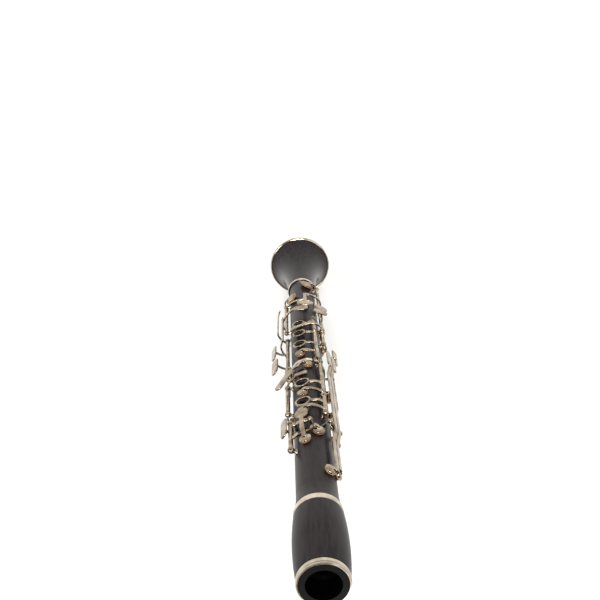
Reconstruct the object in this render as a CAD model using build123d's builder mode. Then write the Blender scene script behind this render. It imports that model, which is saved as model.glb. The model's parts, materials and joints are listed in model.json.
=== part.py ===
from build123d import *
from math import atan2, cos, degrees, hypot, radians, sin
import os

os.makedirs("parts", exist_ok=True)

# A B-flat soprano clarinet of the Boehm system, without its mouthpiece, standing on its bell.
# The bore runs up Z from the middle of the bell's rim. The finger holes face -Y, the player's
# right hand side is -X and the thumb side is +Y. Angles round the bore are measured from the
# front towards the player's right. All sizes are millimetres.

# ---- driving dimensions: the five wooden pieces -------------------------------------------
BELL_LENGTH = 105.0
LOWER_LENGTH = 223.0
UPPER_LENGTH = 200.0
BARREL_LENGTH = 65.0
BELL_RIM_RADIUS = 40.0
BELL_MOUTH_RADIUS = 30.0
BELL_THROAT_RADIUS = 11.5
BORE_RADIUS = 7.35
UPPER_RADIUS = 14.9
LOWER_RADIUS = 14.9
COLLAR_RADIUS = 16.6
COLLAR_LENGTH = 16.0
BARREL_TOP_RADIUS = 16.8
BARREL_BELLY_RADIUS = 18.3
BARREL_LOW_RADIUS = 17.3

# ---- driving dimensions: sockets, tenons and metal rings ----------------------------------
SOCKET_RADIUS = 11.2
SOCKET_DEPTH = 16.5
TENON_CLEARANCE = 0.15
TENON_END_GAP = 1.0
CORK_MARGIN = 3.2
CORK_DEPTH = 0.9
RING_HEIGHT = 5.2
RING_WALL = 1.3
RIM_RING_HEIGHT = 4.2
RIM_RING_WALL = 3.0

# ---- driving dimensions: keywork ----------------------------------------------------------
HINGE_LIFT = 4.6
TUBE_RADIUS = 2.0
ROD_RADIUS = 1.1
HINGE_CLEARANCE = 0.05
END_CLEARANCE = 0.3
BALL_RADIUS = 2.8
SHANK_RADIUS = 1.5
SHANK_DEPTH = 3.0
FOOT_RADIUS = 2.5
FOOT_HEIGHT = 0.6
BAR_THICKNESS = 1.5
BAR_WIDTH = 3.7
BRIDGE_WIDTH = 3.2
ARM_WIDTH = 3.6
SEAT_HEIGHT = 0.8
SEAT_WALL = 1.5
SEAT_GAP = 0.15
PAD_THICKNESS = 2.0
PAD_SHOWING = 0.7
CUP_WALL = 0.5
CUP_DOME = 1.1
CUP_MARGIN = 2.2
CHIMNEY_HEIGHT = 3.0
CHIMNEY_RADIUS = 4.8
RING_CLEARANCE = 0.5
FINGER_RING_WIDTH = 1.5
FINGER_RING_THICKNESS = 1.6
FINGER_RING_PROUD = 0.3
TOUCH_THICKNESS = 1.6
TOUCH_ROUNDING = 0.6
TOUCH_LIFT = 9.1
LEVER_LIFT = 7.7
PETAL_LIFT = 15.1
SIDE_TOUCH_LIFT = 12.1
TRILL_TOUCH_LIFT = 10.3
TRILL_DIP_LIFT = 4.6
LINK_GAP = 0.5
NEEDLE_RADIUS = 0.3
NEEDLE_LENGTH = 15.0
NEEDLE_GAP = 0.15
NEEDLE_SHARE = 0.6
AXLE_RADIUS = 0.9
AXLE_TUBE_RADIUS = 1.7
AXLE_BALL_RADIUS = 2.0
AXLE_SHANK_RADIUS = 1.2
AXLE_SHANK_DEPTH = 4.5
BAR_OFFSET = 2.1
THUMB_REST_PLATE = 1.3
LINER_RADIUS = 3.0

# ---- places along the bore ----------------------------------------------------------------
BELL_TOP = BELL_LENGTH
LOWER_TOP = BELL_TOP + LOWER_LENGTH
UPPER_TOP = LOWER_TOP + UPPER_LENGTH
TOTAL = UPPER_TOP + BARREL_LENGTH
UPPER_HINGE = UPPER_RADIUS + HINGE_LIFT
LOWER_HINGE = LOWER_RADIUS + HINGE_LIFT
LEVER_LEVEL = UPPER_RADIUS + LEVER_LIFT
TOUCH_LEVEL = LOWER_RADIUS + TOUCH_LIFT
CUP_LIFT = SEAT_HEIGHT + SEAT_GAP + PAD_THICKNESS + CUP_DOME
RING_LIFT = CHIMNEY_HEIGHT + FINGER_RING_PROUD - FINGER_RING_THICKNESS / 2
TENON_LENGTH = SOCKET_DEPTH - TENON_END_GAP
CORK_WIDTH = TENON_LENGTH - 2 * CORK_MARGIN

# Tone holes of the upper joint, down from its top: distance, angle, hole radius.
A_HOLE = (UPPER_TOP - 68.0, 0.0, 2.8)
GSHARP_HOLE = (UPPER_TOP - 78.0, 37.0, 3.0)
UPPER_VENT_HOLE = (UPPER_TOP - 108.0, 0.0, 2.5)
INDEX_HOLE = (UPPER_TOP - 120.5, 0.0, 3.4)
MIDDLE_VENT_HOLE = (UPPER_TOP - 136.5, 0.0, 2.5)
MIDDLE_HOLE = (UPPER_TOP - 153.0, 0.0, 3.5)
RING_FINGER_HOLE = (UPPER_TOP - 177.5, 0.0, 3.3)
SLIVER_HOLE = (UPPER_TOP - 130.0, -97.0, 2.7)
CSHARP_HOLE = (UPPER_TOP - 190.5, 22.0, 2.7)
THUMB_HOLE = (UPPER_TOP - 98.0, 180.0, 3.6)
REGISTER_HOLE = (UPPER_TOP - 25.0, 180.0, 1.6)
SIDE_HOLES = (
    (UPPER_TOP - 156.0, 115.0, 2.7),
    (UPPER_TOP - 123.0, 115.0, 2.7),
    (UPPER_TOP - 36.0, 95.0, 2.6),
    (UPPER_TOP - 30.0, 60.0, 2.6),
)

# Tone holes of the lower joint, down from its top.
VENT_HOLE = (LOWER_TOP - 13.0, 0.0, 2.6)
RH_HOLES = (
    (LOWER_TOP - 33.0, 0.0, 3.8),
    (LOWER_TOP - 58.5, 0.0, 3.8),
    (LOWER_TOP - 83.0, 0.0, 3.8),
)
RH_SLIVER_HOLE = (LOWER_TOP - 57.0, 124.0, 3.0)
AFLAT_HOLE = (LOWER_TOP - 96.0, 128.0, 4.0)
F_HOLE = (LOWER_TOP - 138.0, 20.0, 5.3)
FSHARP_HOLE = (LOWER_TOP - 167.0, -20.0, 5.3)
E_HOLE = (LOWER_TOP - 200.0, 40.0, 5.5)

UPPER_PAD_HOLES = (
    A_HOLE, GSHARP_HOLE, UPPER_VENT_HOLE, MIDDLE_VENT_HOLE, SLIVER_HOLE, CSHARP_HOLE,
) + SIDE_HOLES
LOWER_PAD_HOLES = (VENT_HOLE, RH_SLIVER_HOLE, AFLAT_HOLE, F_HOLE, FSHARP_HOLE, E_HOLE)
UPPER_CHIMNEYS = (INDEX_HOLE, MIDDLE_HOLE, RING_FINGER_HOLE)

# Rods that run along the bore: angle, then the height of each post that holds the rod.
RING_ROD = (57.0, UPPER_TOP - 194.0, UPPER_TOP - 132.0, UPPER_TOP - 103.5)
GSHARP_ROD = (-40.0, UPPER_TOP - 100.0, UPPER_TOP - 62.5)
THUMB_ROD = (124.0, UPPER_TOP - 110.0, UPPER_TOP - 86.5)
SLIVER_ROD = (-58.0, UPPER_TOP - 170.0, UPPER_TOP - 124.0)
CSHARP_ROD = (-42.0, UPPER_TOP - 196.5, UPPER_TOP - 176.0)
RH_RING_ROD = (50.0, LOWER_TOP - 97.0, LOWER_TOP - 8.2)
RH_SLIVER_ROD = (84.0, LOWER_TOP - 75.5, LOWER_TOP - 48.0)
RIGHT_ROD = (88.0, LOWER_TOP - 207.5, LOWER_TOP - 141.5, LOWER_TOP - 84.5)
LEFT_ROD = (-72.0, LOWER_TOP - 176.0, LOWER_TOP - 102.0)
LEVER_ROD = (-84.0, LOWER_TOP - 90.0, LOWER_TOP - 20.0)
UPPER_RODS = (RING_ROD, GSHARP_ROD, THUMB_ROD, SLIVER_ROD, CSHARP_ROD)
LOWER_RODS = (RH_RING_ROD, RH_SLIVER_ROD, RIGHT_ROD, LEFT_ROD, LEVER_ROD)

# Axles that lie across the bore: height, angle, radius of the axle, half the space between posts.
A_AXLE = (UPPER_TOP - 84.5, 0.0, UPPER_RADIUS + 6.6, 4.6)
REGISTER_AXLE = (UPPER_TOP - 52.0, 180.0, UPPER_RADIUS + 6.2, 3.6)
TRILL_AXLE = (UPPER_TOP - 88.0, 79.0, UPPER_RADIUS + 6.2, 4.8)
SIDE_AXLE = (UPPER_TOP - 180.0, 116.5, UPPER_RADIUS + 6.2, 4.8)
AXLES = (A_AXLE, REGISTER_AXLE, TRILL_AXLE, SIDE_AXLE)

# How far each open standing key is turned up from its closed place, in degrees.
RING_OPENING = 5.0
THUMB_OPENING = 5.0
F_OPENING = 6.5
E_OPENING = 8.0
FSHARP_OPENING = 7.0
E_LEVER_OPENING = 16.0
FSHARP_LEVER_OPENING = 5.6

MIN_END = (Align.CENTER, Align.CENTER, Align.MIN)


# ---- places -------------------------------------------------------------------------------
def outward(angle):
    """The direction away from the bore at an angle round it."""
    return Vector(-sin(radians(angle)), -cos(radians(angle)), 0)


def place(z, angle, radius):
    """A point at a height, an angle round the bore and a distance from its axis."""
    return outward(angle) * radius + Vector(0, 0, z)


def rightward(angle):
    """The direction round the bore, towards growing angles."""
    return outward(angle).cross(Vector(0, 0, 1))


def wood(z):
    """The radius of the joint at a height."""
    return UPPER_RADIUS if z > LOWER_TOP else LOWER_RADIUS


def wing(z, angle, radius, facing):
    """A plane at that place that faces another way round the bore than its own angle."""
    return Plane(origin=place(z, angle, radius), x_dir=(0, 0, 1), z_dir=outward(facing))


def station(z, angle, radius, shift=0.0):
    """The plane that faces outward there; its X runs up the bore, its Y round to the right."""
    origin = place(z, angle, radius) + rightward(angle) * shift
    return Plane(origin=origin, x_dir=(0, 0, 1), z_dir=outward(angle))


def side_plane(angle, shift=0.0):
    """The plane of the bore axis and one angle: X is height, Y is distance from the axis."""
    tangent = rightward(angle)
    return Plane(origin=tangent * shift, x_dir=(0, 0, 1), z_dir=-tangent)


def hinge_line(rod):
    """The axis of a rod that runs along the bore."""
    radius = UPPER_HINGE if rod in UPPER_RODS else LOWER_HINGE
    return Axis(place(0, rod[0], radius), (0, 0, 1))


# ---- shapes that are shared by the pieces -------------------------------------------------
def disc(plane, radius, height, mode=Mode.ADD):
    with Locations(plane):
        Cylinder(radius, height, align=MIN_END, mode=mode)


def long_cylinder(angle, radius, z_low, z_high, thickness, mode=Mode.ADD):
    """A round bar parallel to the bore."""
    with Locations(Plane(origin=place(z_low, angle, radius))):
        Cylinder(thickness, z_high - z_low, align=MIN_END, mode=mode)


def turned(points_outside, points_inside):
    """A piece turned on a lathe: smooth outline outside, straight steps inside."""
    with BuildSketch(Plane.XZ) as profile:
        with BuildLine():
            outside = Spline(*points_outside)
            Polyline(outside @ 1, *points_inside, outside @ 0)
        make_face()
    revolve(profile.sketch, axis=Axis.Z)


def pipe(z_low, z_high, outer, inner):
    """A plain tube round the bore axis."""
    with Locations(Plane.XY.offset(z_low)):
        Cylinder(outer, z_high - z_low, align=MIN_END)
        Cylinder(inner, z_high - z_low, align=MIN_END, mode=Mode.SUBTRACT)


def metal_ring(z_low, height, outer, inner, belly=0.3):
    """A ferrule with a rounded outside."""
    with BuildSketch(Plane.XZ) as profile:
        with BuildLine():
            Polyline((outer - belly, z_low), (inner, z_low), (inner, z_low + height),
                     (outer - belly, z_low + height))
            ThreePointArc((outer - belly, z_low), (outer, z_low + height / 2),
                          (outer - belly, z_low + height))
        make_face()
    revolve(profile.sketch, axis=Axis.Z)


def seat_radius(hole):
    """How far from the bore axis the raised seat round a padded hole ends."""
    return wood(hole[0]) + SEAT_HEIGHT


def cup_radius(hole):
    return hole[2] + CUP_MARGIN


def pad_disc(hole):
    """The pad, closed on its hole."""
    z, angle, _ = hole
    disc(station(z, angle, seat_radius(hole) + SEAT_GAP),
         cup_radius(hole) - CUP_WALL, PAD_THICKNESS)


def cup_top(hole):
    return wood(hole[0]) + CUP_LIFT


def pad_cup(hole):
    """The domed cup that holds a pad, closed on its hole."""
    z, angle, _ = hole
    rim = cup_radius(hole)
    low = seat_radius(hole) + SEAT_GAP + PAD_SHOWING
    shelf = seat_radius(hole) + SEAT_GAP + PAD_THICKNESS
    with BuildSketch(side_plane(angle)) as profile:
        with BuildLine():
            Polyline((z, shelf), (z + rim - CUP_WALL, shelf), (z + rim - CUP_WALL, low),
                     (z + rim, low), (z + rim, shelf - 0.2))
            ThreePointArc((z + rim, shelf - 0.2), (z + rim * 0.72, shelf + CUP_DOME * 0.62),
                          (z, shelf + CUP_DOME))
            Line((z, shelf + CUP_DOME), (z, shelf))
        make_face()
    revolve(profile.sketch, axis=Axis(place(z, angle, 0), outward(angle)))


STRAP_STEP = 12.0


def strap(z, width, *stations):
    """A flat bar bent round the bore; each station is an angle and a height above the wood."""
    outer, inner = [], []
    half = BAR_THICKNESS / 2
    for (angle, lift), (next_angle, next_lift) in zip(stations, stations[1:]):
        steps = max(1, round(abs(next_angle - angle) / STRAP_STEP))
        for step in range(steps):
            share = step / steps
            here = angle + (next_angle - angle) * share
            middle = wood(z) + lift + (next_lift - lift) * share
            outer.append(place(0, here, middle + half))
            inner.append(place(0, here, middle - half))
    last_angle, last_lift = stations[-1]
    outer.append(place(0, last_angle, wood(z) + last_lift + half))
    inner.append(place(0, last_angle, wood(z) + last_lift - half))
    with BuildSketch(Plane.XY.offset(z - width / 2)) as outline:
        with BuildLine():
            top = Spline(*outer)
            bottom = Spline(*inner)
            Line(top @ 0, bottom @ 0)
            Line(top @ 1, bottom @ 1)
        make_face()
    extrude(outline.sketch, amount=width)


def beside(points, distance):
    """The points of a line moved sideways, each corner mitred."""
    moved = []
    for number, point in enumerate(points):
        here = Vector(*point)
        before = here - Vector(*points[number - 1]) if number else None
        after = Vector(*points[number + 1]) - here if number + 1 < len(points) else None
        before = (before or after).normalized()
        after = (after or before).normalized()
        side = Vector(-(before.Y + after.Y), before.X + after.X, 0).normalized()
        reach = distance / side.dot(Vector(-before.Y, before.X, 0))
        moved.append(here + side * reach)
    return moved


def over_cup(hole, side):
    """The stations that take a strap over the edge of a cup to its middle, from one side."""
    z, angle, _ = hole
    top = cup_top(hole)
    edge = degrees(atan2(cup_radius(hole), top))
    edge_lift = hypot(top - 0.2, cup_radius(hole)) + BAR_THICKNESS / 2 - wood(z)
    return (angle + side * edge, edge_lift), (angle, CUP_LIFT + 0.2)


def bar(angle, width, *points, shift=0.0, thickness=BAR_THICKNESS):
    """A bar along the bore through (height, radius) points along its middle."""
    over = beside(points, thickness / 2)
    under = beside(points, -thickness / 2)
    with BuildSketch(side_plane(angle, shift)) as outline:
        with BuildLine():
            Polyline(*over, *reversed(under), close=True)
        make_face()
    extrude(outline.sketch, amount=width / 2, both=True)


def touch(plane, length, width, lean=0.0):
    """An oval finger plate with softened edges. It comes first in its key, clear of the rest."""
    with BuildSketch(plane) as outline:
        with Locations(Location((0, 0, 0), (0, 0, lean))):
            SlotOverall(length, width)
    extrude(outline.sketch, amount=TOUCH_THICKNESS)
    upper_edges = edges(Select.LAST).group_by(Axis(plane.origin, plane.z_dir))[-1]
    fillet(upper_edges, TOUCH_ROUNDING)


def hinge_tube(rod, z_low, z_high, mode=Mode.ADD):
    """The tube of a key that turns on a long rod; its ends clear the posts."""
    radius = UPPER_HINGE if rod in UPPER_RODS else LOWER_HINGE
    long_cylinder(rod[0], radius, z_low, z_high, TUBE_RADIUS, mode)


def hinge_bore(rod, z_low, z_high):
    """The running hole of a hinge tube."""
    radius = UPPER_HINGE if rod in UPPER_RODS else LOWER_HINGE
    long_cylinder(rod[0], radius, z_low - 1, z_high + 1, ROD_RADIUS + HINGE_CLEARANCE,
                  Mode.SUBTRACT)


def above(post):
    """Where a tube starts over a post."""
    return post + BALL_RADIUS + END_CLEARANCE


def below(post):
    """Where a tube ends under a post."""
    return post - BALL_RADIUS - END_CLEARANCE


def axle_plane(axle, shift=0.0):
    """The plane across a short axle, its Z along the axle towards the player's right."""
    z, angle, radius, _ = axle
    tangent = rightward(angle)
    return Plane(origin=place(z, angle, radius) + tangent * shift, x_dir=(0, 0, 1),
                 z_dir=tangent)


def axle_tube(axle, centre, length):
    disc(axle_plane(axle, centre - length / 2), AXLE_TUBE_RADIUS, length)


def axle_bore(axle, centre, length):
    disc(axle_plane(axle, centre - length / 2 - 1), AXLE_RADIUS + HINGE_CLEARANCE,
         length + 2, Mode.SUBTRACT)


def finger_ring(hole):
    """The ring round a chimney, pressed down, level with the chimney's top."""
    z, angle, _ = hole
    top = wood(z) + CHIMNEY_HEIGHT + FINGER_RING_PROUD
    inner = CHIMNEY_RADIUS + RING_CLEARANCE
    disc(station(z, angle, top - FINGER_RING_THICKNESS), inner + FINGER_RING_WIDTH,
         FINGER_RING_THICKNESS)


def finger_ring_hole(hole):
    z, angle, _ = hole
    disc(station(z, angle, wood(z)), CHIMNEY_RADIUS + RING_CLEARANCE, 12, Mode.SUBTRACT)


def save(piece, name):
    piece.label = name
    export_step(piece, f"parts/{name}.step")


def opened(piece, rod, degrees):
    """A key turned up from its closed place about its rod."""
    return piece.rotate(hinge_line(rod), degrees)


# ---- barrel -------------------------------------------------------------------------------
with BuildPart() as barrel:
    turned(
        (
            (BARREL_LOW_RADIUS - 0.2, UPPER_TOP + RING_HEIGHT),
            (BARREL_BELLY_RADIUS, UPPER_TOP + BARREL_LENGTH * 0.36),
            (BARREL_TOP_RADIUS - 0.1, TOTAL - RING_HEIGHT),
        ),
        (
            (BARREL_TOP_RADIUS - RING_WALL, TOTAL - RING_HEIGHT),
            (BARREL_TOP_RADIUS - RING_WALL, TOTAL),
            (SOCKET_RADIUS, TOTAL),
            (SOCKET_RADIUS, TOTAL - SOCKET_DEPTH),
            (BORE_RADIUS, TOTAL - SOCKET_DEPTH),
            (BORE_RADIUS, UPPER_TOP + SOCKET_DEPTH),
            (SOCKET_RADIUS, UPPER_TOP + SOCKET_DEPTH),
            (SOCKET_RADIUS, UPPER_TOP),
            (BARREL_LOW_RADIUS - RING_WALL, UPPER_TOP),
            (BARREL_LOW_RADIUS - RING_WALL, UPPER_TOP + RING_HEIGHT),
        ),
    )
save(barrel.part, "barrel")

with BuildPart() as barrel_top_ring:
    metal_ring(TOTAL - RING_HEIGHT, RING_HEIGHT, BARREL_TOP_RADIUS, BARREL_TOP_RADIUS - RING_WALL)
save(barrel_top_ring.part, "barrel_top_ring")

with BuildPart() as barrel_bottom_ring:
    metal_ring(UPPER_TOP, RING_HEIGHT, BARREL_LOW_RADIUS, BARREL_LOW_RADIUS - RING_WALL)
save(barrel_bottom_ring.part, "barrel_bottom_ring")

# ---- joints, their tenons and their tone holes --------------------------------------------
TENON_RADIUS = SOCKET_RADIUS - TENON_CLEARANCE


def tenon(z_low, z_high):
    """A tenon with the groove that its cork is wound in."""
    middle = (z_low + z_high) / 2
    pipe(z_low, z_high, TENON_RADIUS, BORE_RADIUS)
    with BuildSketch(Plane.XZ) as groove:
        with Locations((TENON_RADIUS, middle)):
            Rectangle(2 * CORK_DEPTH, CORK_WIDTH)
    revolve(groove.sketch, axis=Axis.Z, mode=Mode.SUBTRACT)


def post_sockets(rods, body_radius):
    """The drilled holes that the posts are screwed into."""
    for rod in rods:
        for height in rod[1:]:
            disc(station(height, rod[0], body_radius - SHANK_DEPTH), SHANK_RADIUS,
                 SHANK_DEPTH + 2, Mode.SUBTRACT)


def pad_seats(holes, body_radius):
    """The raised wooden seats that the pads close on."""
    for z, angle, hole in holes:
        disc(station(z, angle, body_radius - 3), hole + SEAT_WALL, 3 + SEAT_HEIGHT)


def chimneys(holes, body_radius):
    """The raised chimneys that the fingers close."""
    for z, angle, _ in holes:
        disc(station(z, angle, body_radius - 3), CHIMNEY_RADIUS, 3 + CHIMNEY_HEIGHT)


def drill(holes):
    for z, angle, hole in holes:
        disc(station(z, angle, BORE_RADIUS - 3), hole, 16, Mode.SUBTRACT)


def axle_post_planes(axle):
    """Planes of the two posts of an axle, standing square to its middle angle."""
    z, angle, _, half = axle
    reach = half + AXLE_BALL_RADIUS
    return [station(z, angle, UPPER_RADIUS - AXLE_SHANK_DEPTH, side * reach) for side in (-1, 1)]


with BuildPart() as upper_joint:
    pipe(LOWER_TOP, UPPER_TOP, UPPER_RADIUS, BORE_RADIUS)
    tenon(UPPER_TOP, UPPER_TOP + TENON_LENGTH)
    tenon(LOWER_TOP - TENON_LENGTH, LOWER_TOP)
    with BuildSketch(Plane.XZ) as collar:
        with BuildLine():
            flare = Spline((UPPER_RADIUS, UPPER_TOP - COLLAR_LENGTH),
                           (UPPER_RADIUS + (COLLAR_RADIUS - UPPER_RADIUS) * 0.35,
                            UPPER_TOP - COLLAR_LENGTH * 0.45),
                           (COLLAR_RADIUS, UPPER_TOP))
            Polyline(flare @ 1, (TENON_RADIUS, UPPER_TOP),
                     (TENON_RADIUS, UPPER_TOP - COLLAR_LENGTH), flare @ 0)
        make_face()
    revolve(collar.sketch, axis=Axis.Z)
    pad_seats(UPPER_PAD_HOLES, UPPER_RADIUS)
    chimneys(UPPER_CHIMNEYS, UPPER_RADIUS)
    drill(UPPER_PAD_HOLES + UPPER_CHIMNEYS)
    disc(station(THUMB_HOLE[0], THUMB_HOLE[1], BORE_RADIUS - 1), CHIMNEY_RADIUS, 12, Mode.SUBTRACT)
    disc(station(REGISTER_HOLE[0], 180, BORE_RADIUS - 1), LINER_RADIUS, 12, Mode.SUBTRACT)
    post_sockets(UPPER_RODS, UPPER_RADIUS)
    for axle in AXLES:
        for plane in axle_post_planes(axle):
            disc(plane, AXLE_SHANK_RADIUS, AXLE_SHANK_DEPTH + 1.5, Mode.SUBTRACT)
save(upper_joint.part, "upper_joint")

with BuildPart() as lower_joint:
    pipe(BELL_TOP, LOWER_TOP - RING_HEIGHT, LOWER_RADIUS, BORE_RADIUS)
    pipe(LOWER_TOP - RING_HEIGHT, LOWER_TOP, LOWER_RADIUS + 0.2, BORE_RADIUS)
    tenon(BELL_TOP - TENON_LENGTH, BELL_TOP)
    with Locations(Plane.XY.offset(LOWER_TOP - SOCKET_DEPTH)):
        Cylinder(SOCKET_RADIUS, SOCKET_DEPTH, align=MIN_END, mode=Mode.SUBTRACT)
    pad_seats(LOWER_PAD_HOLES, LOWER_RADIUS)
    chimneys(RH_HOLES, LOWER_RADIUS)
    drill(LOWER_PAD_HOLES[1:] + RH_HOLES)
    post_sockets(LOWER_RODS, LOWER_RADIUS)
save(lower_joint.part, "lower_joint")


# ---- bell ---------------------------------------------------------------------------------
BELL_OUTLINE = (
    (BELL_RIM_RADIUS - RIM_RING_WALL + 0.5, RIM_RING_HEIGHT),
    (32.8, 12.5),
    (26.8, 28.0),
    (21.6, 49.0),
    (18.3, 71.0),
    (16.6, 90.0),
    (15.9, BELL_TOP - RING_HEIGHT),
)
BELL_FLARE = (
    (BELL_THROAT_RADIUS, BELL_TOP - SOCKET_DEPTH),
    (BELL_THROAT_RADIUS + 0.5, 70.0),
    (14.4, 45.0),
    (19.6, 22.0),
    (25.3, 8.0),
    (BELL_MOUTH_RADIUS, 0.0),
)
BELL_NECK_RADIUS = LOWER_RADIUS + 0.8

with BuildPart() as bell:
    with BuildSketch(Plane.XZ):
        with BuildLine():
            outside = Spline(*BELL_OUTLINE)
            flare = Spline(*BELL_FLARE)
            Polyline(outside @ 1, (BELL_NECK_RADIUS, BELL_TOP - RING_HEIGHT),
                     (BELL_NECK_RADIUS, BELL_TOP), (SOCKET_RADIUS, BELL_TOP),
                     (SOCKET_RADIUS, BELL_TOP - SOCKET_DEPTH), flare @ 0)
            Polyline(flare @ 1, (BELL_RIM_RADIUS - RIM_RING_WALL, 0),
                     (BELL_RIM_RADIUS - RIM_RING_WALL, RIM_RING_HEIGHT), outside @ 0)
        make_face()
    revolve(axis=Axis.Z)
save(bell.part, "bell")

with BuildPart() as bell_top_ring:
    metal_ring(BELL_TOP - RING_HEIGHT, RING_HEIGHT, BELL_NECK_RADIUS + RING_WALL, BELL_NECK_RADIUS)
save(bell_top_ring.part, "bell_top_ring")

with BuildPart() as bell_rim_ring:
    metal_ring(0, RIM_RING_HEIGHT, BELL_RIM_RADIUS, BELL_RIM_RADIUS - RIM_RING_WALL, belly=1.2)
save(bell_rim_ring.part, "bell_rim_ring")

with BuildPart() as lower_joint_top_ring:
    metal_ring(LOWER_TOP - RING_HEIGHT, RING_HEIGHT, LOWER_RADIUS + 0.2 + RING_WALL,
               LOWER_RADIUS + 0.2)
save(lower_joint_top_ring.part, "lower_joint_top_ring")

# ---- corks, metal tubes, thumb rest -------------------------------------------------------
with BuildPart() as tenon_corks:
    for top in (UPPER_TOP + TENON_LENGTH, LOWER_TOP, BELL_TOP):
        middle = top - TENON_LENGTH / 2
        pipe(middle - CORK_WIDTH / 2, middle + CORK_WIDTH / 2, SOCKET_RADIUS,
             TENON_RADIUS - CORK_DEPTH)
save(tenon_corks.part, "tenon_corks")

with BuildPart() as thumb_tube:
    disc(station(THUMB_HOLE[0], 180, BORE_RADIUS - 1), CHIMNEY_RADIUS,
         UPPER_RADIUS + CHIMNEY_HEIGHT - BORE_RADIUS + 1)
    disc(station(THUMB_HOLE[0], 180, 0), THUMB_HOLE[2], 30, Mode.SUBTRACT)
    long_cylinder(0, 0, THUMB_HOLE[0] - 10, THUMB_HOLE[0] + 10, BORE_RADIUS, Mode.SUBTRACT)
save(thumb_tube.part, "thumb_tube")

with BuildPart() as register_tube:
    disc(station(REGISTER_HOLE[0], 180, BORE_RADIUS - 1), LINER_RADIUS,
         UPPER_RADIUS + SEAT_HEIGHT - BORE_RADIUS + 1)
    disc(station(REGISTER_HOLE[0], 180, 0), REGISTER_HOLE[2], 30, Mode.SUBTRACT)
    long_cylinder(0, 0, REGISTER_HOLE[0] - 10, REGISTER_HOLE[0] + 10, BORE_RADIUS, Mode.SUBTRACT)
save(register_tube.part, "register_tube")

THUMB_REST = LOWER_TOP - 66.0
SCREW_SPACE = 9.5
SCREW_RADIUS = 1.3

with BuildPart() as thumb_rest:
    with BuildSketch(Plane.XY.offset(THUMB_REST - 14)) as plate:
        with BuildLine():
            over = CenterArc((0, 0), LOWER_RADIUS + THUMB_REST_PLATE, 68, 44)
            under = CenterArc((0, 0), LOWER_RADIUS, 68, 44)
            Line(over @ 0, under @ 0)
            Line(over @ 1, under @ 1)
        make_face()
    extrude(plate.sketch, amount=28)
    bar(180, 13, (THUMB_REST + 1, LOWER_RADIUS + 0.7), (THUMB_REST + 1, 18.0),
        (THUMB_REST + 0.5, 24.0), (THUMB_REST - 1.5, 28.0), (THUMB_REST - 5, 31.0), thickness=2.2)
    for side in (-1, 1):
        disc(station(THUMB_REST + side * SCREW_SPACE, 180, LOWER_RADIUS - 2), SCREW_RADIUS, 5,
             Mode.SUBTRACT)
save(thumb_rest.part, "thumb_rest")

with BuildPart() as thumb_rest_screws:
    for side in (-1, 1):
        plane = station(THUMB_REST + side * SCREW_SPACE, 180, LOWER_RADIUS)
        disc(plane, SCREW_RADIUS, THUMB_REST_PLATE)
        disc(plane.offset(THUMB_REST_PLATE), SCREW_RADIUS + 1.1, 0.9)
save(thumb_rest_screws.part, "thumb_rest_screws")


# ---- posts, rods, axles and springs -------------------------------------------------------
def ball_post(height, angle, body_radius, hinge_radius):
    """A turned post: shank in the wood, foot on it, ball round the rod."""
    base = station(height, angle, body_radius)
    disc(base.offset(-SHANK_DEPTH), SHANK_RADIUS, SHANK_DEPTH + hinge_radius - body_radius)
    disc(base, FOOT_RADIUS, FOOT_HEIGHT)
    with Locations(station(height, angle, hinge_radius)):
        Sphere(BALL_RADIUS)


def needle(rod, low, high, hinge_radius, mode=Mode.ADD):
    """The needle spring under the tube of each key, from the lower post."""
    reach = min(NEEDLE_LENGTH, NEEDLE_SHARE * (high - low))
    long_cylinder(rod[0], hinge_radius - TUBE_RADIUS - NEEDLE_RADIUS - NEEDLE_GAP, low, low + reach,
                  NEEDLE_RADIUS, mode)


def posts(rods, body_radius, hinge_radius):
    for rod in rods:
        for height in rod[1:]:
            ball_post(height, rod[0], body_radius, hinge_radius)
        long_cylinder(rod[0], hinge_radius, rod[1] - 5, rod[-1] + 5, ROD_RADIUS, Mode.SUBTRACT)
        for low, high in zip(rod[1:], rod[2:]):
            needle(rod, low, high, hinge_radius, Mode.SUBTRACT)


def axle_posts(axle):
    """The two small ball posts of an axle that lies across the bore."""
    z, angle, radius, half = axle
    for side, plane in zip((-1, 1), axle_post_planes(axle)):
        disc(plane, AXLE_SHANK_RADIUS, radius - UPPER_RADIUS + AXLE_SHANK_DEPTH)
        with Locations(station(z, angle, radius, side * (half + AXLE_BALL_RADIUS))):
            Sphere(AXLE_BALL_RADIUS)
    disc(axle_plane(axle, -12), AXLE_RADIUS, 24, Mode.SUBTRACT)


with BuildPart() as upper_posts:
    posts(UPPER_RODS, UPPER_RADIUS, UPPER_HINGE)
    for axle in AXLES:
        axle_posts(axle)
save(upper_posts.part, "upper_posts")

with BuildPart() as lower_posts:
    posts(LOWER_RODS, LOWER_RADIUS, LOWER_HINGE)
save(lower_posts.part, "lower_posts")

with BuildPart() as upper_hinge_rods:
    for rod in UPPER_RODS:
        long_cylinder(rod[0], UPPER_HINGE, rod[1] - BALL_RADIUS, rod[-1] + BALL_RADIUS, ROD_RADIUS)
save(upper_hinge_rods.part, "upper_hinge_rods")

with BuildPart() as lower_hinge_rods:
    for rod in LOWER_RODS:
        long_cylinder(rod[0], LOWER_HINGE, rod[1] - BALL_RADIUS, rod[-1] + BALL_RADIUS, ROD_RADIUS)
save(lower_hinge_rods.part, "lower_hinge_rods")

with BuildPart() as pivot_screws:
    for axle in AXLES:
        reach = axle[3] + 2 * AXLE_BALL_RADIUS
        disc(axle_plane(axle, -reach), AXLE_RADIUS, 2 * reach)
save(pivot_screws.part, "pivot_screws")

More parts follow.
